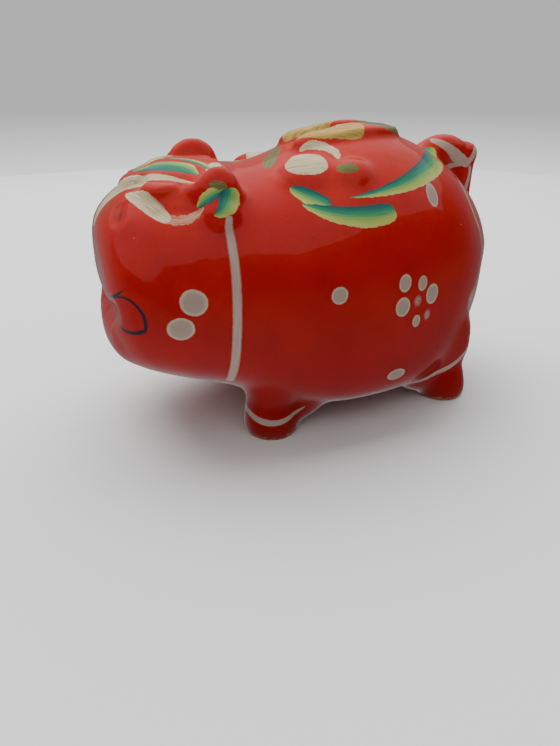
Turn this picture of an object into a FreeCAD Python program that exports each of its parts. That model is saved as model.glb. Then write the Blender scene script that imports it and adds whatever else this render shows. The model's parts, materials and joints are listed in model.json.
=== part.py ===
import FreeCAD, Part
import math
import os

V = FreeCAD.Vector

# Pottery piggy bank, millimetres. Nose towards -X, tail towards +X, pig's left side towards -Y, +Z up.
# It is drawn with the middle of the hollow body at X = 0, and is moved at the end so that the origin is
# at the middle of the bottom of its bounding box.

# Driving dimensions ------------------------------------------------------------------------------
body_length = 184.0        # nose to rump, without the tail
body_width = 114.0
body_height = 114.0        # belly to the crest of the back
belly_clearance = 7.0      # floor to belly
wall = 5.0                 # clay wall of the hollow body

slot_length = 40.0         # coin slot, along the spine
slot_width = 5.0
slot_behind_middle = 21.0  # middle of the body to the middle of the slot

foot_radius = 12.0         # at the floor
foot_waist_radius = 11.5   # where it leaves the floor's rounded edge behind
foot_haunch_radius = 13.0  # where it joins the body
foot_tip_radius = 9.0      # rounded top, luted into the haunch
foot_height = 44.0         # floor to the top of the luted joint
foot_lean = 9.0            # how far the top leans towards the spine
foot_edge_radius = 2.5
foot_spread = 36.0         # spine to the middle of a foot
front_foot_ahead = 30.0    # middle of the body to the front feet
rear_foot_behind = 61.0    # middle of the body to the rear feet

ear_length = 12.5          # half-sizes of one ear, along X, across and up
ear_thickness = 8.5
ear_rise = 15.0
ear_ahead = 43.0           # middle of the body to the ears
ear_spread = 34.5          # spine to the middle of an ear
ear_level = 92.0           # belly to the middle of an ear

relief = 2.6               # height of the moulded flowers above the body
petal_length = 17.0        # half-sizes of one forelock petal, seen from above
petal_width = 9.5
petal_reach = 18.0         # flower centre to the middle of a petal
forelock_ahead = 45.0      # middle of the body to the forelock flower's centre
forelock_turns = (0.0, 40.0, -40.0, 76.0, -76.0)

crest_relief = 3.4         # height of the long leaves beside the slot
crest_length = 21.0        # half-sizes of one, seen from above
crest_width = 6.0
crest_gap = 2.0            # slot edge to the leaf
crest_ahead = 2.0          # middle of the slot to the middle of the leaf
bud_radius = 8.5           # round bud and leaf knob on the side of the back
bud_ahead = 11.5           # middle of the body to the bud
bud_spread = 29.5
knob_radius = 7.0
knob_behind = 8.0
knob_spread = 33.0

tail_root_radius = 7.5
tail_tip_radius = 4.5

plug_hole_radius = 11.0    # hole in the belly
plug_behind_middle = 15.0  # middle of the body to the hole
plug_clearance = 0.05      # radial, a rubber plug held by friction
plug_flange_radius = 14.0
plug_flange_thickness = 2.5
plug_flange_gap = 0.5      # radial gap in the seat
plug_seat_depth = 1.4      # seat cut into the belly
plug_lip = 2.5             # stem past the inside of the wall
plug_stem_wall = 2.5

# Shape of the body: one row for each cross-section from nose to rump. Share of the length, then the
# shares of the height at its top, bottom and widest level, share of the width, and how square it is
# above and below (2 is an ellipse).
SECTIONS = [
    # along  top    bottom widest width  above below
    (0.000, 0.690, 0.320, 0.520, 0.350, 2.1, 2.4),
    (0.010, 0.746, 0.265, 0.520, 0.520, 2.0, 2.6),
    (0.035, 0.798, 0.230, 0.520, 0.660, 2.0, 2.8),
    (0.080, 0.848, 0.196, 0.525, 0.768, 2.0, 2.8),
    (0.151, 0.892, 0.152, 0.525, 0.840, 2.0, 2.8),
    (0.258, 0.908, 0.093, 0.522, 0.915, 2.0, 2.9),
    (0.366, 0.902, 0.024, 0.504, 0.965, 2.0, 3.5),
    (0.484, 0.960, 0.000, 0.487, 1.000, 2.0, 4.4),
    (0.602, 1.000, 0.000, 0.469, 1.000, 2.0, 4.6),
    (0.710, 0.985, 0.005, 0.460, 0.952, 2.0, 4.4),
    (0.806, 0.926, 0.020, 0.460, 0.850, 2.0, 3.8),
    (0.892, 0.836, 0.066, 0.460, 0.684, 2.0, 3.0),
    (0.957, 0.730, 0.158, 0.460, 0.490, 2.0, 2.4),
    (1.000, 0.620, 0.305, 0.460, 0.225, 2.0, 2.0),
]
SECTION_POINTS = 17


def power(value, exponent):
    """A power that keeps the sign of its base, for superellipses."""
    return math.copysign(abs(value) ** exponent, value)


def half_section(along, top, bottom, widest, width, above, below, grow):
    """One cross-section of the left half (Y <= 0), closed along the spine."""
    length = body_length + 2 * grow
    height = body_height + 2 * grow
    base = belly_clearance - grow
    x = -length / 2 + along * length
    level = base + widest * height
    rise = (top - widest) * height
    drop = (widest - bottom) * height
    half_width = width * (body_width / 2 + grow)
    points = []
    for i in range(SECTION_POINTS):
        angle = math.pi / 2 - math.pi * i / (SECTION_POINTS - 1)
        square = above if angle >= 0 else below
        reach = rise if angle >= 0 else drop
        y = -half_width * max(math.cos(angle), 0.0) ** (2 / square)
        z = level + reach * power(math.sin(angle), 2 / square)
        points.append(V(x, y, z))
    points[0].y = 0.0
    points[-1].y = 0.0
    curve = Part.BSplineCurve()
    curve.interpolate(Points=points, InitialTangent=V(0, -1, 0), FinalTangent=V(0, 1, 0))
    return Part.Wire([curve.toShape(), Part.makeLine(points[-1], points[0])])


def left_form(grow):
    """Solid left half of the body's form, larger than the body all round by grow."""
    wires = [half_section(*row, grow) for row in SECTIONS]
    return Part.makeLoft(wires, True, False)


def other_side(shape):
    return shape.mirror(V(0, 0, 0), V(0, 1, 0))


def top_of_body(x):
    """Height of the spine above the floor at x, straight between two cross-sections."""
    share = (x + body_length / 2) / body_length
    for low, high in zip(SECTIONS, SECTIONS[1:]):
        if low[0] <= share <= high[0]:
            part = (share - low[0]) / (high[0] - low[0])
            return belly_clearance + body_height * (low[1] + part * (high[1] - low[1]))
    raise ValueError("x is off the body")


def ellipsoid(centre, half_x, half_y, half_z, lean=0.0):
    """A rounded lump, leaning about X by some degrees."""
    shape = Part.makeSphere(1.0)
    matrix = FreeCAD.Matrix()
    matrix.scale(half_x, half_y, half_z)
    shape = shape.transformGeometry(matrix)
    shape.rotate(V(0, 0, 0), V(1, 0, 0), lean)
    shape.translate(centre)
    return shape


def ellipse_prism(x, y, half_x, half_y, turn, low, high):
    """An upright prism with an elliptical outline, turned about Z by some degrees."""
    shape = Part.makeCylinder(1.0, high - low)
    matrix = FreeCAD.Matrix()
    matrix.scale(half_x, half_y, 1.0)
    shape = shape.transformGeometry(matrix)
    shape.rotate(V(0, 0, 0), V(0, 0, 1), turn)
    shape.translate(V(x, y, low))
    return shape


def slot_prism(length, width, low, high):
    """The upright space of the coin slot, with rounded ends."""
    x = slot_behind_middle
    straight = length - width
    core = Part.makeBox(straight, width, high - low, V(x - straight / 2, -width / 2, low))
    for end in (-straight / 2, straight / 2):
        core = core.fuse(Part.makeCylinder(width / 2, high - low, V(x + end, 0, low)))
    return core.removeSplitter()


def one_solid(shape):
    """The largest solid of a cut, without the specks that a cut may leave."""
    return max(shape.Solids, key=lambda solid: solid.Volume)


# Body halves: two pressed shells, joined along the spine ------------------------------------------
crest_height = belly_clearance + body_height
middle_level = belly_clearance + body_height / 2
left_solid = left_form(0.0)
whole_body = left_solid.fuse(other_side(left_solid))
cavity = left_form(-wall)
seat_level = belly_clearance + plug_seat_depth
slot_space = slot_prism(slot_length, slot_width, middle_level, crest_height + wall)
hole = Part.makeCylinder(plug_hole_radius, middle_level, V(plug_behind_middle, 0, 0))
seat_radius = plug_flange_radius + plug_flange_gap
seat = Part.makeCylinder(seat_radius, seat_level, V(plug_behind_middle, 0, 0))
left_body_half = one_solid(left_solid.cut(cavity).cut(slot_space).cut(hole).cut(seat))

pieces = {
    "left_body_half": left_body_half,
    "right_body_half": other_side(left_body_half),
}


# Feet: short solid stumps that flare into the belly -----------------------------------------------
# Each row is a ring's height, its radius and its share of the lean. The lowest ring is under the
# floor, where the flat sole cuts it off.
FOOT_RINGS = [
    (-0.5 * foot_edge_radius, foot_radius - 1.9 * foot_edge_radius, 0.0),
    (0.0, foot_radius - foot_edge_radius, 0.0),
    (0.3 * foot_edge_radius, foot_radius - 0.4 * foot_edge_radius, 0.0),
    (foot_edge_radius, foot_radius, 0.0),
    (0.25 * foot_height, foot_waist_radius, 0.1),
    (0.65 * foot_height, foot_haunch_radius, 0.45),
    (foot_height, foot_tip_radius, 1.0),
]
under_floor = Part.makeBox(body_length, body_width, foot_height)
under_floor.translate(V(-body_length / 2, -body_width, -foot_height))


def left_foot(x):
    """One foot, from the floor up to the body, leaning in towards the spine."""
    rings = []
    for z, radius, lean in FOOT_RINGS:
        ring = Part.Circle(V(x, lean * foot_lean - foot_spread, z), V(0, 0, 1), radius)
        rings.append(Part.Wire(ring.toShape()))
    stump = Part.makeLoft(rings, True, False)
    return one_solid(stump.cut(under_floor).cut(whole_body))


for place, x in (("front", -front_foot_ahead), ("rear", rear_foot_behind)):
    pieces[place + "_left_foot"] = left_foot(x)
    pieces[place + "_right_foot"] = other_side(pieces[place + "_left_foot"])


# Ears: small drooping flaps luted to the sides of the head ----------------------------------------
EAR_LEAN = -14.0
ear_middle = V(-ear_ahead, -ear_spread, belly_clearance + ear_level)
ear_lump = ellipsoid(ear_middle, ear_length, ear_thickness, ear_rise, EAR_LEAN)
pieces["left_ear"] = one_solid(ear_lump.cut(whole_body))
pieces["right_ear"] = other_side(pieces["left_ear"])


# Tail: a tapered roll that rises from the rump and curls down onto it -----------------------------
# Each row is its place behind and above the tail's root, its direction down from level, and its
# share of the way from the root's radius to the tip's.
TAIL_ROUTE = [
    (-2.0, -11.5, -42.0, 0.0),
    (9.0, -4.5, -26.0, 0.0),
    (20.0, -3.0, 14.0, 0.15),
    (27.0, -8.5, 56.0, 0.4),
    (29.0, -17.5, 84.0, 0.65),
    (30.5, -28.0, 80.0, 0.9),
    (33.0, -38.0, 72.0, 1.0),
]
tail_root_share = 0.806
tail_x = (tail_root_share - 0.5) * body_length
tail_z = top_of_body(tail_x)
rings = []
for behind, above, down, share in TAIL_ROUTE:
    radius = tail_root_radius + share * (tail_tip_radius - tail_root_radius)
    slope = math.radians(down)
    along = V(math.cos(slope), 0, -math.sin(slope))
    ring = Part.Circle(V(tail_x + behind, 0, tail_z + above), along, radius)
    rings.append(Part.Wire(ring.toShape()))
tail_roll = Part.makeLoft(rings, True, False)
pieces["tail"] = one_solid(tail_roll.cut(whole_body))


# Relief flowers: thin clay sprigs pressed on the head and the back ---------------------------------
def form(grow):
    """The body's whole form, larger all round by grow."""
    half = left_form(grow)
    return half.fuse(other_side(half))


def sprig(outlines, height):
    """A raised patch that follows the body at some height, inside upright outlines."""
    area = outlines[0]
    for outline in outlines[1:]:
        area = area.fuse(outline)
    return one_solid(area.common(form(height)).cut(whole_body))


petals = []
for turn in forelock_turns:
    x = -forelock_ahead - petal_reach * math.cos(math.radians(turn))
    y = -petal_reach * math.sin(math.radians(turn))
    top = crest_height + relief
    petals.append(ellipse_prism(x, y, petal_length, petal_width, turn, middle_level, top))
forelock = sprig(petals, relief).cut(pieces["left_ear"]).cut(pieces["right_ear"])
pieces["forelock_flower"] = one_solid(forelock)

crest_x = slot_behind_middle - crest_ahead
crest_spread = slot_width / 2 + crest_gap + crest_width
crest_leaf = ellipse_prism(
    crest_x, -crest_spread, crest_length, crest_width, 0.0, middle_level, crest_height + crest_relief)
pieces["left_crest_leaf"] = sprig([crest_leaf], crest_relief)
pieces["right_crest_leaf"] = other_side(pieces["left_crest_leaf"])


LUMP_STRETCH = 1.3   # longer along the spine than across
LUMP_DEPTH = 1.2     # half-thickness as a multiple of the relief
LUMP_LEAN = 30.0     # lies along the slope of the back


def back_lump(x, spread, radius):
    """A low round lump on the left of the back, standing out of the body by the relief and a bit."""
    upright = Part.makeLine(V(x, -spread, middle_level), V(x, -spread, crest_height + wall))
    surface = V(x, -spread, upright.common(whole_body).BoundBox.ZMax)
    lump = ellipsoid(surface, radius * LUMP_STRETCH, radius, relief * LUMP_DEPTH, LUMP_LEAN)
    return one_solid(lump.cut(whole_body))


pieces["left_bud"] = back_lump(-bud_ahead, bud_spread, bud_radius)
pieces["right_bud"] = other_side(pieces["left_bud"])
pieces["left_leaf_knob"] = back_lump(knob_behind, knob_spread, knob_radius)
pieces["right_leaf_knob"] = other_side(pieces["left_leaf_knob"])


# Stopper: a hollow rubber bung with a flange, pushed up into the belly ------------------------------
inside_level = belly_clearance + wall
stem_radius = plug_hole_radius - plug_clearance
stem_top = inside_level + plug_lip
flange_bottom = seat_level - plug_flange_thickness
flange = Part.makeCylinder(plug_flange_radius, plug_flange_thickness, V(0, 0, flange_bottom))
stem = Part.makeCylinder(stem_radius, stem_top - seat_level, V(0, 0, seat_level))
hollow = Part.makeCylinder(stem_radius - plug_stem_wall, stem_top, V(0, 0, seat_level))
bung = flange.fuse(stem).cut(hollow)
bung.translate(V(plug_behind_middle, 0, 0))
pieces["belly_stopper"] = one_solid(bung)


# Origin at the middle of the bottom of the bounding box, then one file for each piece --------------
box = Part.makeCompound(list(pieces.values())).optimalBoundingBox()
shift = V(-(box.XMin + box.XMax) / 2, -(box.YMin + box.YMax) / 2, -box.ZMin)
os.makedirs("parts", exist_ok=True)
for name, shape in pieces.items():
    shape.translate(shift)
    shape.exportStep("parts/" + name + ".step")
    print(name, "solids", len(shape.Solids), "volume", round(shape.Volume), "valid", shape.isValid())
print("shift", round(shift.x, 3), round(shift.y, 3), round(shift.z, 3))
print("size", round(box.XLength, 2), round(box.YLength, 2), round(box.ZLength, 2))
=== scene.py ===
import bpy
import json
import math
import numpy
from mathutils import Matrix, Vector
from mathutils.bvhtree import BVHTree


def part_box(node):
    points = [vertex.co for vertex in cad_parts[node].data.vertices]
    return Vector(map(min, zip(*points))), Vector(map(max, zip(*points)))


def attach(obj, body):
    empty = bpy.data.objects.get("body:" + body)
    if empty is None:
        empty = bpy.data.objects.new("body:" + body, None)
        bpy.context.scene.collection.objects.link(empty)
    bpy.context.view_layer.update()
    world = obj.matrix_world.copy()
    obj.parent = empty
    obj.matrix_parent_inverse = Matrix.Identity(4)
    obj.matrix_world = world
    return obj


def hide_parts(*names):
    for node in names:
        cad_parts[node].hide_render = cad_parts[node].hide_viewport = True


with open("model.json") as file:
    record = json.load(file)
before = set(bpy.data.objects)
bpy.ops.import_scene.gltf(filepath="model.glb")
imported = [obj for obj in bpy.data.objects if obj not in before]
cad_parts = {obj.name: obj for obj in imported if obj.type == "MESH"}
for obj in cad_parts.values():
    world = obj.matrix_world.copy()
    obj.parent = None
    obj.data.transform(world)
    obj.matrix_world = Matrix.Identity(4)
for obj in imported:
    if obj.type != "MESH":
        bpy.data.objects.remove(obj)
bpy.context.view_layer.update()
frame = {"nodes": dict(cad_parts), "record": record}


# The fired clay ----------------------------------------------------------------------------------
# Two pressed halves, four feet, ears, tail and flower sprigs, luted together wet and fired as one
# hollow piece. Slip and glaze round every joint, so the whole is one soft skin with a slot and a hole.
MM = 0.001
SKIN_GRAIN = 1.4 * MM        # size of the skin's faces
SPONGE_STROKES = 7           # how far the wet joints and edges were softened
WIPED = 1.8                  # height in mm of the rounding that wiping took off the soles
LOWEST = 12.0                # height in mm where wiping no longer changed the feet
CLAY_PIECES = list(frame["record"]["behaviour"]["bodies"]["bank"])


def place(obj):
    """Bakes an object's place, turn and size into its mesh."""
    bpy.ops.object.select_all(action="DESELECT")
    obj.select_set(True)
    bpy.context.view_layer.objects.active = obj
    bpy.ops.object.transform_apply(location=True, rotation=True, scale=True)


def lump(centre, size, turn=(0, 0, 0)):
    """A rounded lump of clay: middle and half-sizes in millimetres, turn in degrees."""
    bpy.ops.object.select_all(action="DESELECT")
    bpy.ops.mesh.primitive_uv_sphere_add(
        segments=48, ring_count=24, radius=1.0,
        location=[c * MM for c in centre], rotation=[math.radians(a) for a in turn],
        scale=[s * MM for s in size])
    made = bpy.context.object
    place(made)
    return made


def pair_of_lumps(centre, size, turn=(0, 0, 0)):
    """The same lump on the left side and, mirrored, on the right."""
    x, y, z = centre
    a, b, c = turn
    return [lump((x, y, z), size, (a, b, c)), lump((x, -y, z), size, (-a, b, -c))]


bpy.ops.object.select_all(action="DESELECT")
clay = []
for name in CLAY_PIECES:
    if name.endswith(("ear", "bud", "knob")):
        continue             # pressed on softer, below
    copy = frame["nodes"][name].copy()
    copy.data = copy.data.copy()
    copy.parent = None
    bpy.context.collection.objects.link(copy)
    clay.append(copy)

# wet clay worked into the joints: flares behind the front feet and before the hind ones, then the
# tops of the front legs and the haunches
clay += pair_of_lumps((-15, -35.5, 13), (17, 9.5, 8.5), (0, -24, 0))
clay += pair_of_lumps((44, -35, 13.5), (15, 9.5, 8.5), (0, 22, 0))
clay += pair_of_lumps((-30, -35, 22), (12, 11.5, 14))
clay += pair_of_lumps((59, -37, 25), (15, 9.5, 11))
# the ears with their lower lips, of which the right one stands higher
clay += pair_of_lumps((-48.5, -31.5, 102), (9, 6.5, 11), (-8, 0, 0))
clay += pair_of_lumps((-50, -37.5, 97), (7.5, 5.0, 5.0), (20, 0, 0))
clay.append(lump((-43, 29, 106), (12, 7, 11)))
# the two buds, the knobs behind them, the front of the crest, and the roll of the tail's curl
clay.append(lump((-11.6, -26.5, 109.0), (10.6, 9.6, 2.4), (30, -9, 0)))
clay.append(lump((-12.3, 35.0, 104.2), (11.5, 9.0, 3.4), (-40, 0, 0)))
clay += pair_of_lumps((6.4, -33.4, 108.0), (7.8, 7.0, 3.6), (36, 0, 0))
clay += pair_of_lumps((-1, -8.5, 117.6), (9, 5.5, 3.2), (15, -14, 0))
clay.append(lump((80, 0, 101), (10, 7, 11), (0, 20, 0)))
clay.append(lump((84.5, 0, 107), (6.2, 6.5, 6.8), (0, 45, 0)))

bpy.ops.object.select_all(action="DESELECT")
for piece in clay:
    piece.select_set(True)
bpy.context.view_layer.objects.active = clay[0]
bpy.ops.object.join()
skin = bpy.context.object
skin.name = "glazed_clay_skin"
skin.data.materials.clear()
bpy.ops.object.mode_set(mode="EDIT")
bpy.ops.mesh.select_all(action="SELECT")
bpy.ops.mesh.remove_doubles(threshold=0.01 * MM)
bpy.ops.object.mode_set(mode="OBJECT")
luting = skin.modifiers.new("luted", "REMESH")
luting.mode = "VOXEL"
luting.voxel_size = SKIN_GRAIN
luting.use_smooth_shade = True
bpy.ops.object.modifier_apply(modifier=luting.name)


def vertex_places():
    """Every vertex of the skin, in millimetres."""
    values = numpy.empty(len(skin.data.vertices) * 3)
    skin.data.vertices.foreach_get("co", values)
    return values.reshape(-1, 3) / MM


def move_vertices(points):
    """Moves every vertex of the skin to its new place, in millimetres."""
    skin.data.vertices.foreach_set("co", (points * MM).ravel())
    skin.data.update()


def sponge(strokes, near=None, reach=0.0):
    """Softens the skin, all over or only within some reach of a few places, in millimetres."""
    softening = skin.modifiers.new("sponged", "SMOOTH")
    softening.factor = 0.5
    softening.iterations = strokes
    if near:
        points = vertex_places()
        weight = numpy.zeros(len(points))
        for x, y, z in near:
            for side in (y, -y):
                gap = numpy.linalg.norm(points - (x, side, z), axis=1) / reach
                weight = numpy.maximum(weight, numpy.clip(1.6 - 1.6 * gap, 0, 1))
        group = skin.vertex_groups.new(name="wet")
        for index in numpy.nonzero(weight)[0]:
            group.add([int(index)], float(weight[index]), "REPLACE")
        softening.vertex_group = group.name
    bpy.ops.object.modifier_apply(modifier=softening.name)
    skin.vertex_groups.clear()


BODY_MIDDLE = (0, 0, 62)


def press(path, reach, depth):
    """Presses a groove into the outside along a path, or raises a ridge where the depth is less than
    nothing. It is done on both sides, and fades to nothing at its reach."""
    points = vertex_places()
    values = numpy.empty(len(points) * 3)
    skin.data.vertices.foreach_get("normal", values)
    normals = values.reshape(-1, 3)
    mirrored = points * (1, -1, 1)
    outside = numpy.sum(normals * (points - BODY_MIDDLE), axis=1) > 0
    near = numpy.full(len(points), math.inf)
    for start, end in zip(path, path[1:]):
        a = numpy.array(start, float)
        run = numpy.array(end, float) - a
        for cloud in (points, mirrored):
            share = numpy.clip((cloud - a) @ run / (run @ run), 0, 1)
            near = numpy.minimum(near, numpy.linalg.norm(cloud - a - share[:, None] * run, axis=1))
    fade = numpy.clip(1 - (near / reach) ** 2, 0, 1) ** 2 * outside
    move_vertices(points - normals * (depth * fade)[:, None])


# soft all over, and softer at the feet, haunches, tail, ears, buds and knobs
sponge(SPONGE_STROKES)
sponge(30, near=[(-30, -40, 24), (-14, -36, 16), (45, -38, 16), (-43, -36, 24)], reach=17)
sponge(52, near=[(66, -42, 34), (56, -46, 32), (70, -34, 30)], reach=19)
sponge(52, near=[(62, -44, 25), (70, -40, 25), (53, -46, 22)], reach=13)
sponge(12, near=[(74, 0, 112), (85, -4, 92), (80, -5, 100)], reach=14)
sponge(19, near=[(-37, -38, 98), (-37, -30, 106), (-58, -36, 98)], reach=12)
sponge(34, near=[(-12, -31, 108), (-22, -26, 107), (-4, -33, 107)], reach=13)
sponge(16, near=[(7, -33, 109), (16, -36, 107)], reach=11)

# the soles were wiped flat on a board while still damp
standing = vertex_places()
low_down = numpy.clip((standing[:, 2] - WIPED) * LOWEST / (LOWEST - WIPED), 0, None)
standing[:, 2] = numpy.where(standing[:, 2] < LOWEST, low_down, standing[:, 2])
move_vertices(standing)

# the snout: mouth crease, chin, corner of the brow, hind leg's hollow, and the hollow before the cheek
press([(-93, 0, 56), (-93, -14, 56.5), (-91, -25, 61)], 8, 3.6)
press([(-92, 0, 44), (-87, -18, 45)], 12, -1.8)
press([(-84, -16, 98), (-86, -20, 95)], 5, 1.1)
press([(80, -30, 58), (76, -37, 44)], 15, 1.6)
press([(-84, -31, 89), (-76, -41, 80), (-70, -46, 72)], 9, 0.8)
# creases between the forelock's petals, and its wavy lower edge
press([(-80, -8, 105), (-70, -16, 108), (-58, -26, 108)], 4.5, 0.9)
press([(-76, -17, 104), (-70, -24, 104), (-62, -27, 105), (-56, -29, 105)], 5, -1.2)
press([(-70, -30, 98), (-64, -33, 98), (-58, -34, 99)], 4.5, 1.1)
press([(-66, -5, 111), (-54, -16, 111)], 4.0, -0.9)


LEANS = ((0, 0), (0.9, 0), (-0.9, 0), (0, 0.9), (0, -0.9), (0.6, 0.6), (-0.6, -0.6))
CLEAR_OF_FACE = 0.3 * MM


def enclosed(tree, middle, normal):
    """Whether every way out from a face's front is blocked, as it is on the walls of the hollow."""
    start = middle + normal * CLEAR_OF_FACE
    aside = normal.orthogonal().normalized()
    other = normal.cross(aside)
    for lean_one, lean_two in LEANS:
        if tree.ray_cast(start, (normal + aside * lean_one + other * lean_two).normalized())[0] is None:
            return False
    return True


walls = BVHTree.FromPolygons([v.co for v in skin.data.vertices],
                             [list(f.vertices) for f in skin.data.polygons])
BARE_CLAY = 1
for face in skin.data.polygons:
    if enclosed(walls, face.center, face.normal):
        face.material_index = BARE_CLAY


def from_hex(code):
    """An sRGB hex colour as linear red, green, blue and alpha."""
    shares = [int(code[i:i + 2], 16) / 255 for i in (0, 2, 4)]
    return [s / 12.92 if s <= 0.04045 else ((s + 0.055) / 1.055) ** 2.4 for s in shares] + [1.0]


def add_node(tree, kind, wires=(), out=0, **settings):
    """Adds a node with its settings. Its wires are values or other nodes' outputs, in the order of
    its inputs, or numbered by input. Gives back one of its outputs."""
    made = tree.nodes.new(kind)
    for name, value in settings.items():
        setattr(made, name, value)
    for index, wire in (wires.items() if isinstance(wires, dict) else enumerate(wires)):
        if isinstance(wire, bpy.types.NodeSocket):
            tree.links.new(wire, made.inputs[index])
        else:
            made.inputs[index].default_value = wire
    return made.outputs[out]


# Glazed, painted earthenware: red slip, brushed flowers and stencilled dots under one clear glaze.
# The slip is slightly mottled, the brush leaves streaks and ragged edges, and the glaze is glass-like.
MATH, VECTOR, MIX, NOISE = "ShaderNodeMath", "ShaderNodeVectorMath", "ShaderNodeMix", "ShaderNodeTexNoise"
glaze = bpy.data.materials.new("glazed_painted_earthenware")
glaze.use_nodes = True
paint = glaze.node_tree
shader = paint.nodes["Principled BSDF"]
object_place = add_node(paint, "ShaderNodeTexCoord", out=3)
spot = add_node(paint, VECTOR, {0: object_place, 3: 1 / MM}, operation="SCALE")
split = add_node(paint, "ShaderNodeSeparateXYZ", [spot]).node
left_y = add_node(paint, MATH, [add_node(paint, MATH, [split.outputs[1]], operation="ABSOLUTE"), -1.0],
                  operation="MULTIPLY")
left_spot = add_node(paint, "ShaderNodeCombineXYZ", [split.outputs[0], left_y, split.outputs[2]])
TUFT = 1.82                  # size in mm of the tufts that make a stroke's edge ragged
BRISTLE = 0.526              # spacing in mm of the bristle streaks, drawn coarser than real hairs
STREAK = 10.0                # length in mm that a bristle streak holds
EDGE = 0.22                  # width in mm of a brush stroke's soft edge
SHALLOW = 16.0               # depth in mm behind a stroke's middle that its paint can reach
ragged = add_node(paint, NOISE, {0: spot, 2: 1 / TUFT, 3: 3.0, 4: 0.6})
ragged = add_node(paint, MATH, [ragged, 0.5], operation="SUBTRACT")


def brush_stroke(start, middle, end, width, faces, tip=0.6, heel=0.6, both=True, rag=1.4, soft=EDGE):
    """A stroke of the brush along an arc through three places in millimetres. Tip and heel say how
    pointed its start and its end are, from 0.1 for blunt to 1 for sharp. Gives its cover, and a
    vector of the share across it, and its millimetres across and along."""
    facing = Vector(faces).normalized()
    origin = Vector(middle)
    right = (Vector(end) - Vector(start))
    right = (right - facing * right.dot(facing)).normalized()
    up = facing.cross(right)
    flat = [((Vector(p) - origin).dot(right), (Vector(p) - origin).dot(up)) for p in (start, middle, end)]
    (ax, ay), (bx, by), (cx, cy) = flat
    twist = 2 * (ax * (by - cy) + bx * (cy - ay) + cx * (ay - by))
    twist = math.copysign(max(abs(twist), 0.5), twist)
    ux = ((ax * ax + ay * ay) * (by - cy) + (cx * cx + cy * cy) * (ay - by)) / twist
    uy = ((ax * ax + ay * ay) * (cx - bx) + (cx * cx + cy * cy) * (bx - ax)) / twist
    radius = math.hypot(ux, uy)
    hub = origin + right * ux + up * uy
    first = (origin - hub).normalized()
    second = facing.cross(first)
    turns = [math.atan2((Vector(p) - hub).dot(second), (Vector(p) - hub).dot(first)) for p in (start, end)]
    away = add_node(paint, VECTOR, [left_spot if both else spot, hub], operation="SUBTRACT")
    x, y, deep = (add_node(paint, VECTOR, [away, axis], out=1, operation="DOT_PRODUCT")
                  for axis in (first, second, facing))
    turn = add_node(paint, MATH, [y, x], operation="ARCTAN2")
    along = add_node(paint, "ShaderNodeMapRange", [turn, turns[0], turns[1], 0.0, 1.0])
    reach = add_node(paint, VECTOR, [add_node(paint, "ShaderNodeCombineXYZ", [x, y])], out=1,
                     operation="LENGTH")
    across = add_node(paint, MATH, [reach, radius], operation="SUBTRACT")
    wavy = add_node(paint, MATH, [ragged, rag, across], operation="MULTIPLY_ADD")
    fullest = tip / (tip + heel)
    scale = width / 2 / (fullest ** tip * (1 - fullest) ** heel)
    grow = add_node(paint, MATH, [along, tip], operation="POWER")
    left = add_node(paint, MATH, [1.0, along], operation="SUBTRACT")
    shrink = add_node(paint, MATH, [left, heel], operation="POWER")
    half = add_node(paint, MATH, [grow, shrink], operation="MULTIPLY")
    half = add_node(paint, MATH, [half, scale, 0.001], operation="MULTIPLY_ADD")
    gap = add_node(paint, MATH, [half, add_node(paint, MATH, [wavy], operation="ABSOLUTE")],
                   operation="SUBTRACT")
    cover = add_node(paint, MATH, [gap, 1 / soft], operation="MULTIPLY", use_clamp=True)
    shallow = add_node(paint, MATH, [add_node(paint, MATH, [deep], operation="ABSOLUTE"), SHALLOW],
                       operation="LESS_THAN")
    cover = add_node(paint, MATH, [cover, shallow], operation="MULTIPLY")
    ratio = add_node(paint, MATH, [across, half], operation="DIVIDE")
    share = add_node(paint, MATH, [ratio, 0.5, 0.5], operation="MULTIPLY_ADD")
    length = add_node(paint, MATH, [turn, radius], operation="MULTIPLY")
    return cover, add_node(paint, "ShaderNodeCombineXYZ", [share, across, length])


def brushed(strokes):
    """Strokes of one paint, one over another: their cover, share across, and bristle streaks."""
    cover, where = None, (0.0, 0.0, 0.0)
    for stroke_cover, stroke_where in strokes:
        where = add_node(paint, MIX, {0: stroke_cover, 4: where, 5: stroke_where}, out=1,
                         data_type="VECTOR")
        cover = stroke_cover if cover is None else add_node(
            paint, MATH, [cover, stroke_cover], operation="MAXIMUM")
    bristles = add_node(paint, VECTOR, [where, (0.0, 1 / BRISTLE, 1 / STREAK)], operation="MULTIPLY")
    streaks = add_node(paint, NOISE, {0: bristles, 2: 1.0, 3: 2.0, 4: 0.55})
    share = add_node(paint, "ShaderNodeSeparateXYZ", [where])
    return cover, share, streaks


def ramp_of(share, stops, tree=paint):
    """A blend of colours along a share, from pairs of place and sRGB hex."""
    made = add_node(tree, "ShaderNodeValToRGB", [share])
    ramp = made.node.color_ramp
    ramp.elements[0].position, ramp.elements[0].color = stops[0][0], from_hex(stops[0][1])
    ramp.elements[1].position, ramp.elements[1].color = stops[-1][0], from_hex(stops[-1][1])
    for position, code in stops[1:-1]:
        ramp.elements.new(position).color = from_hex(code)
    return made


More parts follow.
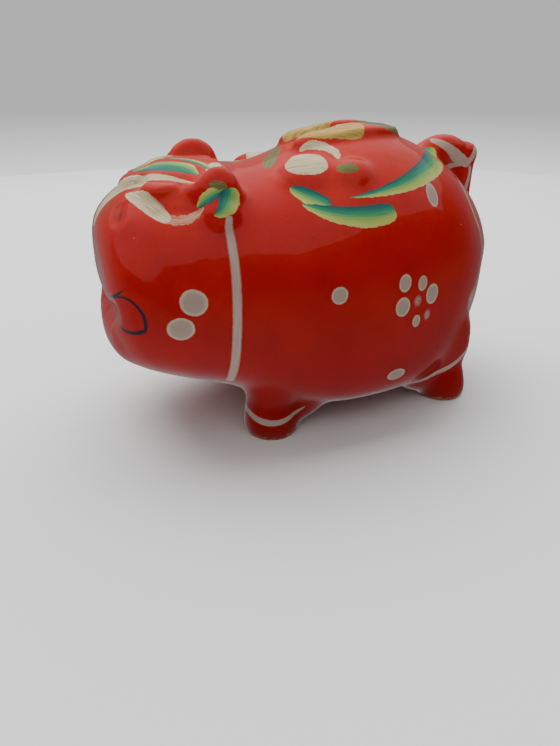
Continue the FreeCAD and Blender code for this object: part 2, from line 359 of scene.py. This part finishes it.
# red slip, a little uneven, with painted light and shade: warmer and lighter towards the top, where the
# ceiling light falls, and deeper red low down
CLOUD, FLECK = 22.2, 2.0     # sizes in mm of the slip's broad and fine mottling
mottle = add_node(paint, NOISE, {0: spot, 2: 1 / CLOUD, 3: 4.0, 4: 0.6})
fine_mottle = add_node(paint, NOISE, {0: spot, 2: 1 / FLECK, 3: 3.0, 4: 0.6})
# painted light and shade: the slip's red is made lighter with height
height = add_node(paint, "ShaderNodeMapRange", [split.outputs[2], 15.0, 110.0, 0.36, 0.82])
level = add_node(paint, MATH, [mottle, 0.5, height], operation="MULTIPLY_ADD")
level = add_node(paint, MATH, [fine_mottle, 0.16, level], operation="MULTIPLY_ADD")
level = add_node(paint, MATH, [level, 0.33], operation="SUBTRACT")
colour = ramp_of(level, [(0.0, "7E0B07"), (0.45, "9C0D0D"), (0.75, "B01611"), (1.0, "C42C17")])

# an orange breath of spray on the snout's brow, and painted shade darkening the dented corner of the brow
brow = add_node(paint, VECTOR, [left_spot, (-86.5, -6.0, 97.5)], operation="SUBTRACT")
brow = add_node(paint, VECTOR, [brow, (0.12, 0.09, 0.16)], operation="MULTIPLY")
brow = add_node(paint, VECTOR, [brow], out=1, operation="LENGTH")
brow = add_node(paint, "ShaderNodeMapRange", [brow, 1.25, 0.3, 0.0, 0.55])
colour = add_node(paint, MIX, {0: brow, 6: colour, 7: from_hex("96380F")}, out=2, data_type="RGBA")
# painted shade: dark red laid in the dent at the brow's corner
painted_brow_shade = add_node(paint, VECTOR, [left_spot, (-84.6, -18.5, 96.2)], operation="DISTANCE", out=1)
painted_brow_shade = add_node(paint, "ShaderNodeMapRange", [painted_brow_shade, 4.0, 0.8, 0.0, 0.6])
colour = add_node(paint, MIX, {0: painted_brow_shade, 6: colour, 7: from_hex("5A1008")}, out=2, data_type="RGBA")

# stencilled dots: a pinkish grey middle inside a creamier rim, and a few that the stencil blurred.
# Each has its middle, and its half-width and half-height, in millimetres.
DOTS = [
    ((-64.9, -47.4, 68.6), 4.9, 4.9), ((-70.2, -45.9, 58.6), 5.0, 4.5), ((-10, -56.3, 66.8), 3.4, 3.4),
    ((19.3, -56.4, 68.1), 2.9, 3.6), ((28.3, -55.5, 66.7), 2.3, 3.1), ((34.1, -54.8, 61.2), 3.3, 4.3),
    ((18.9, -57.0, 58.2), 3.5, 4.1), ((26.7, -56.3, 50.7), 2.0, 2.7), ((38.4, -40.9, 98.4), 3.0, 4.2),
    ((20.6, -53.0, 25.9), 4.6, 2.9),
]
BLURRED_DOTS = [
    ((26.4, -56.2, 59.6), 1.9, 2.4), ((32.4, -55.3, 52.4), 1.7, 2.4), ((66.0, -43.0, 50.0), 4.0, 5.5),
]


def dots(rows):
    """How far each place is from the nearest dot's middle, as a share of that dot's radius."""
    nearest = 9.0
    for (x, y, z), wide, tall in rows:
        away = add_node(paint, VECTOR, [left_spot, (x, y, z)], operation="SUBTRACT")
        away = add_node(paint, VECTOR, [away, (1 / wide, 0.06, 1 / tall)], operation="MULTIPLY")
        share = add_node(paint, VECTOR, [away], out=1, operation="LENGTH")
        nearest = add_node(paint, MATH, [nearest, share], operation="MINIMUM")
    return add_node(paint, MATH, [ragged, 0.12, nearest], operation="MULTIPLY_ADD")


def laid(over, under, cover):
    """One colour laid over another."""
    return add_node(paint, MIX, {0: cover, 6: under, 7: over}, out=2, data_type="RGBA")


dot_share = dots(DOTS)
dot_cover = add_node(paint, "ShaderNodeMapRange", [dot_share, 1.04, 0.96, 0.0, 1.0])
colour = laid(ramp_of(dot_share, [(0.0, "9F8A80"), (0.72, "A28E82"), (0.9, "B5A893"), (1.0, "BAAE98")]),
              colour, dot_cover)
blurred_cover = add_node(paint, "ShaderNodeMapRange", [dots(BLURRED_DOTS), 1.15, 0.45, 0.0, 0.75])
colour = laid(from_hex("A89086"), colour, blurred_cover)

# sprayed and brushed white lines: the collar, the bands over the feet, and the lines round the tail
white_lines = [
    brush_stroke((-48.6, -44, 97.5), (-49.7, -52, 66), (-50.9, -38, 27), 3.9, (0, -1, 0.1), 0.06, 0.03,
                 rag=0.5, soft=0.7),
    brush_stroke((-43, -36, 11.8), (-35, -46, 8.7), (-18, -45, 12.5), 2.9, (-0.3, -0.9, 0), 0.15, 0.5,
                 rag=0.5),
    brush_stroke((10, -52, 17.5), (50, -46, 14.5), (72, -40, 28), 2.6, (0.15, -0.95, 0), 0.6, 0.1,
                 rag=0.5),
    brush_stroke((62.5, -3, 115.5), (69.5, -7, 112), (82.5, -6, 103.8), 4.6, (0, -0.85, 0.5), 0.2, 0.1,
                 rag=0.8),
    brush_stroke((81.5, -6, 103.0), (85, -6, 107), (88, -4, 111.5), 3.0, (0.2, -0.95, 0.2), 0.1, 0.1,
                 rag=0.8),
    brush_stroke((79.5, -6, 104), (66, -28, 94), (72, -34, 80), 2.6, (0.5, -0.8, 0.3), 0.1, 0.1, rag=0.6),
    brush_stroke((84, -6, 103), (86.5, -8, 94), (80, -24, 82), 2.4, (0.6, -0.8, 0.1), 0.1, 0.1, rag=0.6),
    brush_stroke((71.5, -34, 82), (74.5, -35, 62), (73, -34, 42), 1.6, (0.6, -0.8, 0), 0.1, 0.6, rag=0.5),
]
line_cover, _, line_streaks = brushed(white_lines)
thin_paint = add_node(paint, "ShaderNodeMapRange", [line_streaks, 0.25, 0.55, 0.72, 1.0])
line_cover = add_node(paint, MATH, [line_cover, thin_paint], operation="MULTIPLY")
colour = laid(from_hex("B09C90"), colour, line_cover)

# cream: the stripe down the nose, the forelock's petals, the bud and the arc over it
cream = [
    brush_stroke((-54, -27.5, 106.2), (-66, -17, 108.4), (-80, -3.5, 105.5), 4.6, (-0.15, -0.2, 0.97),
                 0.9, 0.1, rag=0.7),
    brush_stroke((-77, -7, 107), (-85, -2.5, 101.5), (-92, 0, 88), 6.0, (-0.8, -0.25, 0.5), 0.2, 0.3,
                 rag=0.7),
    brush_stroke((-79.8, -10.5, 102), (-74.7, -22.5, 100.3), (-68.8, -33.8, 95.3), 6.6,
                 (-0.35, -0.6, 0.72), 0.5, 0.35, rag=0.9),
    brush_stroke((-49.5, -22, 109.8), (-47, -18, 110.6), (-43.4, -12, 111.6), 5.4, (-0.1, -0.2, 0.97),
                 0.4, 0.4),
    brush_stroke((-34, 3, 109.5), (-27.5, 12, 109), (-21, 24, 107), 7.0, (0, 0.1, 1), 0.4, 0.4,
                 both=False),
    brush_stroke((-19, -22, 110), (-11, -25, 111), (-3, -25.5, 110.5), 15.0, (-0.1, -0.6, 0.8),
                 0.35, 0.35),
    brush_stroke((-8.5, -12, 113.6), (0.5, -16.5, 116.2), (2.2, -26, 112), 4.5, (-0.1, -0.5, 0.86),
                 0.5, 0.5),
]
cream_cover, _, cream_streaks = brushed(cream)
thin_paint = add_node(paint, "ShaderNodeMapRange", [cream_streaks, 0.28, 0.5, 0.55, 1.0])
cream_cover = add_node(paint, MATH, [cream_cover, thin_paint], operation="MULTIPLY")
colour = laid(ramp_of(cream_streaks, [(0.25, "BDA67E"), (0.5, "CBBE98"), (0.75, "D4CBAC")]),
              colour, cream_cover)
thin_cream = [brush_stroke((-69.5, -31.5, 96.7), (-62.5, -35.2, 95.9), (-56, -34, 99), 4.8,
                           (-0.2, -0.75, 0.65), 0.15, 0.4, rag=2.2)]
thin_cover, _, thin_streaks = brushed(thin_cream)
thin_paint = add_node(paint, "ShaderNodeMapRange", [thin_streaks, 0.38, 0.62, 0.18, 0.9])
thin_cover = add_node(paint, MATH, [thin_cover, thin_paint], operation="MULTIPLY")
colour = laid(from_hex("BCA888"), colour, thin_cover)

# teal and yellow on one brush: dark teal on the inner edge runs to yellow on the outer one
teal = [
    brush_stroke((-75, -1.5, 109.3), (-64, -8.5, 111), (-53.5, -21.5, 109), 8.6, (-0.1, -0.15, 0.98),
                 0.7, 0.7),
    brush_stroke((-60, 0, 112.8), (-53, -8.5, 112.6), (-47.5, -19.5, 109.8), 3.6, (-0.05, -0.15, 0.98),
                 0.6, 0.4),
    brush_stroke((-57.6, -32.5, 99), (-54.6, -37, 103.8), (-49.6, -39.5, 106.8), 5.0,
                 (-0.3, -0.8, 0.5), 0.6, 0.6),
    brush_stroke((-53.8, -40, 97.3), (-48.5, -42, 101.5), (-46.6, -40.5, 107.5), 8.0,
                 (-0.1, -0.92, 0.38), 0.7, 0.3),
    brush_stroke((-20.8, -33, 104.8), (-15.2, -37.4, 101.2), (-8.5, -42, 97.6), 7.4, (-0.1, -0.8, 0.58),
                 0.5, 0.3),
    brush_stroke((-18.5, -39, 99), (-2.5, -46, 94.2), (17.4, -46.8, 95), 9.2, (0, -0.85, 0.52),
                 0.6, 0.22),
    brush_stroke((-1, -41.6, 100.2), (33, -36.5, 104.8), (60.5, -5, 112.2), 11.2, (0.1, -0.62, 0.78),
                 0.95, 0.28),
]
teal_cover, teal_share, teal_streaks = brushed(teal)
streaked = add_node(paint, MATH, [teal_streaks, 0.34, teal_share], operation="MULTIPLY_ADD")
streaked = add_node(paint, MATH, [streaked, 0.17], operation="SUBTRACT")
colour = laid(ramp_of(streaked, [(0.0, "2A4A50"), (0.16, "1C645C"), (0.4, "2C8660"), (0.6, "78A658"),
                                 (0.8, "B0B452"), (1.0, "C2B878")]), colour, teal_cover)

# ochre and olive: the long leaf beside the slot, and the small leaves
ochre = [brush_stroke((-8, -5, 115), (7, -9.3, 120), (20, -14, 121.5), 13.5, (-0.15, -0.25, 0.95),
                      0.6, 0.3)]
ochre_cover, _, ochre_streaks = brushed(ochre)
colour = laid(ramp_of(ochre_streaks, [(0.3, "A27630"), (0.5, "B99646"), (0.72, "C8AF5E")]),
              colour, ochre_cover)
olive = [
    brush_stroke((-53.6, -35.4, 107.6), (-50.8, -37.4, 108.6), (-47.4, -38.8, 108.8), 2.8,
                 (-0.1, -0.6, 0.8), 0.5, 0.5),
    brush_stroke((-1.2, -32.8, 110.8), (2.2, -34.8, 111), (5.8, -37.2, 109.8), 5.6, (0, -0.6, 0.8),
                 0.4, 0.5),
    brush_stroke((-23.6, -15, 108.6), (-17.6, -4, 111.3), (-10, 8, 113.6), 6.4, (0, 0, 1), 0.4, 0.5,
                 both=False),
    brush_stroke((21, -8, 123.3), (29, -11.5, 122.8), (38, -12.5, 120.8), 6.4, (0, -0.2, 0.98), 0.4, 0.5),
]
olive_cover, _, olive_streaks = brushed(olive)
colour = laid(ramp_of(olive_streaks, [(0.3, "5A5626"), (0.7, "787040")]), colour, olive_cover)

# black line: rings and ticks at the corners of the mouth
black = [
    brush_stroke((-90.5, -31, 68.2), (-83.2, -40.6, 65.5), (-82.5, -40.8, 57.6), 1.7,
                 (-0.75, -0.66, 0), 0.4, 0.08, rag=0.3),
    brush_stroke((-82.5, -40.8, 57.8), (-86.6, -36, 55.8), (-92.5, -24.6, 60.6), 1.8,
                 (-0.75, -0.66, 0), 0.08, 0.4, rag=0.3),
    brush_stroke((-93, -21, 66.2), (-90.5, -29, 68.4), (-88, -35, 72.6), 1.7, (-0.85, -0.5, 0), 0.4, 0.5,
                 rag=0.3),
    brush_stroke((-91.4, -28.5, 67), (-92, -27, 64), (-92, -25.5, 61), 1.5, (-0.85, -0.5, 0), 0.4, 0.3,
                 rag=0.3),
]
colour = laid(from_hex("2E2430"), colour, brushed(black)[0])

# bare clay where the soles and their edges are worn or chipped, and pinholes in the slip
SOLE = 0.39                  # how far up in mm every sole is bare
CHIP = 3.6                   # how far up in mm the largest chips reach
CHIP_SIZE = 2.38
chipping = add_node(paint, NOISE, {0: spot, 2: 1 / CHIP_SIZE, 3: 2.0, 4: 0.5})
worn = add_node(paint, "ShaderNodeMapRange", [chipping, 0.35, 0.75, SOLE, CHIP])
bare = add_node(paint, MATH, [worn, split.outputs[2]], operation="SUBTRACT")
bare = add_node(paint, MATH, [bare, 2.5], operation="MULTIPLY", use_clamp=True)
colour = laid(ramp_of(fine_mottle, [(0.3, "8E5B3C"), (0.7, "B98A62")]), colour, bare)
PINHOLE_SPACING = 9.0        # mm
pinholes = add_node(paint, "ShaderNodeTexVoronoi", {0: spot, 2: 1 / PINHOLE_SPACING})
pinhole_kind = add_node(paint, "ShaderNodeSeparateXYZ", [pinholes.node.outputs[1]])
for kind, code, (low, high), reach in (("pale", "D9A084", (0.72, 0.74), 0.045),
                                       ("dark", "3A0505", (0.27, 0.25), 0.055)):
    chosen = add_node(paint, "ShaderNodeMapRange", [pinhole_kind, low, high, 0.0, 0.8])
    point = add_node(paint, "ShaderNodeMapRange", [pinholes, reach, reach * 0.4, 0.0, 1.0])
    colour = laid(from_hex(code), colour, add_node(paint, MATH, [chosen, point], operation="MULTIPLY"))

# the glaze has run unevenly over the clay, with a faint orange peel; sizes and heights in mm
RUN_SIZE, RUN_HEIGHT = 14.3, 0.55
PEEL_SIZE, PEEL_HEIGHT = 1.667, 0.012
run = add_node(paint, NOISE, {0: spot, 2: 1 / RUN_SIZE, 3: 2.0, 4: 0.5})
relief = add_node(paint, MATH, [run, RUN_HEIGHT], operation="MULTIPLY")
orange_peel = add_node(paint, NOISE, {0: spot, 2: 1 / PEEL_SIZE, 3: 2.0, 4: 0.5})
relief = add_node(paint, MATH, [orange_peel, PEEL_HEIGHT, relief], operation="MULTIPLY_ADD")
uneven = add_node(paint, "ShaderNodeBump", {0: 0.6, 1: MM, 3: relief})
paint.links.new(uneven, shader.inputs["Normal"])
paint.links.new(uneven, shader.inputs["Coat Normal"])
PAINT_ROUGHNESS, CLAY_ROUGHNESS, GLAZE_WEIGHT = 0.34, 0.85, 0.7
gloss = add_node(paint, "ShaderNodeMapRange", [bare, 0.0, 1.0, PAINT_ROUGHNESS, CLAY_ROUGHNESS])
paint.links.new(gloss, shader.inputs["Roughness"])
coat = add_node(paint, "ShaderNodeMapRange", [bare, 0.0, 1.0, GLAZE_WEIGHT, 0.0])
paint.links.new(coat, shader.inputs["Coat Weight"])
paint.links.new(colour, shader.inputs["Base Color"])
shader.inputs["Specular IOR Level"].default_value = 0.1
shader.inputs["Coat Roughness"].default_value = 0.05
shader.inputs["Coat IOR"].default_value = 1.45
skin.data.materials.append(glaze)


# Bare terracotta, pressed by hand in the mould: matt, open-grained and a little sandy. It is seen
# only through the slot and the hole.
terracotta = bpy.data.materials.new("bare_terracotta")
terracotta.use_nodes = True
earth = terracotta.node_tree
matt = earth.nodes["Principled BSDF"]
grain_place = add_node(earth, VECTOR, {0: add_node(earth, "ShaderNodeTexCoord", out=3), 3: 1 / MM},
                       operation="SCALE")
SAND, SMEAR = 0.714, 11.1    # sizes in mm of the clay's grains and of the hand's smears
sand = add_node(earth, NOISE, {0: grain_place, 2: 1 / SAND, 3: 4.0, 4: 0.65})
smears = add_node(earth, NOISE, {0: grain_place, 2: 1 / SMEAR, 3: 3.0, 4: 0.5})
tones = add_node(earth, MATH, [smears, 0.5], operation="MULTIPLY")
tones = add_node(earth, MATH, [sand, 0.5, tones], operation="MULTIPLY_ADD")
tone = ramp_of(tones, [(0.35, "7C4128"), (0.65, "B06C48")], tree=earth)
earth.links.new(tone, matt.inputs["Base Color"])
earth.links.new(add_node(earth, "ShaderNodeBump", {0: 0.5, 1: 0.3 * MM, 3: sand}), matt.inputs["Normal"])
matt.inputs["Roughness"].default_value = 0.92
skin.data.materials.append(terracotta)

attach(skin, "bank")
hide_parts(*CLAY_PIECES)


# The belly stopper -------------------------------------------------------------------------------
# A hollow bung of black rubber, moulded in one with its flange, and pushed up into the hole in the
# belly. A shallow dish and a middle button in the flange give a fingernail something to pull.
low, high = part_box("belly_stopper")
STOPPER_X = (low[0] + high[0]) / 2
FLANGE_RADIUS = (high[0] - low[0]) / 2
FLANGE = 2.5 * MM
STEM_RADIUS = 10.95 * MM
STEM_WALL = 2.5 * MM
DISH = 0.9 * MM              # depth of the dish under the flange
RIM = 3.2 * MM               # width of the flange's outer rim
BUTTON_RADIUS = 4.2 * MM
SOFT_EDGE = 0.35 * MM
SIDES = 96


def inset_cap(height, facing, width, lift):
    """Insets the flat face at a height that faces up or down, and lifts the new face."""
    mesh = bpy.context.object.data
    bpy.ops.object.mode_set(mode="EDIT")
    bpy.ops.mesh.select_mode(type="FACE")
    bpy.ops.mesh.select_all(action="DESELECT")
    bpy.ops.object.mode_set(mode="OBJECT")
    for face in mesh.polygons:
        level_with = abs(face.center.z - height) < 0.05 * MM
        if len(face.vertices) == SIDES and face.normal.z * facing > 0.9 and level_with:
            face.select = True
    bpy.ops.object.mode_set(mode="EDIT")
    bpy.ops.mesh.inset(thickness=width, use_even_offset=True)
    if lift:
        bpy.ops.mesh.extrude_region_move(TRANSFORM_OT_translate={"value": (0, 0, lift)})


bpy.ops.object.select_all(action="DESELECT")
bpy.ops.mesh.primitive_cylinder_add(vertices=SIDES, radius=FLANGE_RADIUS, depth=FLANGE,
                                    location=(STOPPER_X, 0, low[2] + FLANGE / 2))
stopper = bpy.context.object
place(stopper)
stopper.name = "rubber_stopper"
stem = high[2] - low[2] - FLANGE
inset_cap(low[2] + FLANGE, 1, FLANGE_RADIUS - STEM_RADIUS, stem)
inset_cap(high[2], 1, STEM_WALL, -stem)
inset_cap(low[2], -1, RIM, DISH)
inset_cap(low[2] + DISH, -1, FLANGE_RADIUS - RIM - BUTTON_RADIUS, -DISH * 0.8)
inset_cap(low[2] + DISH * 0.2, -1, BUTTON_RADIUS * 0.7, DISH * 0.3)
bpy.ops.object.mode_set(mode="OBJECT")
soft_edges = stopper.modifiers.new("moulded_edges", "BEVEL")
soft_edges.width = SOFT_EDGE
soft_edges.segments = 3
soft_edges.limit_method = "ANGLE"
soft_edges.angle_limit = math.radians(50)
bpy.ops.object.modifier_apply(modifier=soft_edges.name)
bpy.ops.object.shade_smooth_by_angle(angle=math.radians(35))

# Black rubber, moulded: matt, a little dusty, with fine mould grain
rubber = bpy.data.materials.new("moulded_black_rubber")
rubber.use_nodes = True
gum = rubber.node_tree
gum_shader = gum.nodes["Principled BSDF"]
gum_place = add_node(gum, VECTOR, {0: add_node(gum, "ShaderNodeTexCoord", out=3), 3: 1 / MM},
                     operation="SCALE")
DUST, MOULD_GRAIN = 2.86, 0.4    # sizes in mm of the dust's patches and of the mould's grain
dust = add_node(gum, NOISE, {0: gum_place, 2: 1 / DUST, 3: 4.0, 4: 0.65})
bloom = ramp_of(dust, [(0.4, "1B1A1A"), (0.75, "353230")], tree=gum)
gum.links.new(bloom, gum_shader.inputs["Base Color"])
gum.links.new(add_node(gum, "ShaderNodeMapRange", [dust, 0.3, 0.7, 0.55, 0.75]),
              gum_shader.inputs["Roughness"])
mould_grain = add_node(gum, NOISE, {0: gum_place, 2: 1 / MOULD_GRAIN, 3: 2.0, 4: 0.5})
gum.links.new(add_node(gum, "ShaderNodeBump", {0: 0.3, 1: 0.1 * MM, 3: mould_grain}),
              gum_shader.inputs["Normal"])
stopper.data.materials.append(rubber)
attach(stopper, "stopper")
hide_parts("belly_stopper")


# The table top -----------------------------------------------------------------------------------
# A round sheet of plain pale paper, whose far edge melts into the pale wall behind it. It is left out
# of reflections, because the lower half of the room stands for it there.
SHEET_RADIUS = 0.8
bpy.ops.object.select_all(action="DESELECT")
bpy.ops.mesh.primitive_circle_add(vertices=128, radius=SHEET_RADIUS, fill_type="NGON")
table = bpy.context.object
table.name = "pale_paper"
pale = bpy.data.materials.new("matt_pale_paper")
pale.use_nodes = True
paper = pale.node_tree.nodes["Principled BSDF"]
paper.inputs["Base Color"].default_value = from_hex("E9EAEA")
paper.inputs["Roughness"].default_value = 0.8
table.data.materials.append(pale)
table.visible_glossy = False


# Light and camera --------------------------------------------------------------------------------
# A broad soft ceiling whose near edge shows as a veil on the glaze, two fills that the glaze doesn't
# mirror, and a pale wall behind with a dark room in front.
world = bpy.data.worlds.new("soft_room")
bpy.context.scene.world = world
world.use_nodes = True
room = world.node_tree
background = room.nodes["Background"]
way = add_node(room, "ShaderNodeSeparateXYZ", [add_node(room, "ShaderNodeTexCoord")]).node
behind = add_node(room, "ShaderNodeMapRange", [way.outputs[1], -0.1, 0.6, 0.04, 0.24])
below = add_node(room, "ShaderNodeMapRange", [way.outputs[2], -0.25, -0.9, 0.0, 0.26])
shining = add_node(room, MATH, [behind, below], operation="ADD")
seen = add_node(room, "ShaderNodeMapRange", [way.outputs[2], -0.135, -0.05, 1.15, 0.57])
strength = add_node(room, MIX, {0: add_node(room, "ShaderNodeLightPath"), 2: shining, 3: seen})
room.links.new(strength, background.inputs["Strength"])
background.inputs["Color"].default_value = (1, 1, 1, 1)


def soft_light(name, energy, width, depth, where, turn, mirrored=True):
    """A rectangular soft light: watts, metres, place, and turn in degrees from facing straight
    down. An unmirrored one lights the pieces but doesn't show in their gloss."""
    lamp = bpy.data.lights.new(name, "AREA")
    lamp.shape = "RECTANGLE"
    lamp.size, lamp.size_y, lamp.energy = width, depth, energy
    holder = bpy.data.objects.new(name, lamp)
    bpy.context.collection.objects.link(holder)
    holder.location = where
    holder.rotation_euler = [math.radians(a) for a in turn]
    holder.visible_glossy = mirrored


soft_light("soft_ceiling", 9.0, 3.2, 2.0, (-0.15, 0.03, 0.8), (0, 0, 22))
soft_light("high_fill", 25.0, 1.6, 1.0, (0.0, 0.5, 1.0), (-22, 0, 0), mirrored=False)
soft_light("even_fill", 5.0, 2.4, 1.6, (-0.4, -0.9, 0.9), (45, -20, 0), mirrored=False)

lens = bpy.data.cameras.new("camera")
lens.lens = 27.07
lens.sensor_width = 36.0
lens.clip_start = 0.01
camera = bpy.data.objects.new("camera", lens)
bpy.context.collection.objects.link(camera)
camera.location = (-0.1077, -0.2367, 0.1417)
camera.rotation_euler = (math.radians(62.0), 0, math.radians(-22.0))
bpy.context.scene.camera = camera
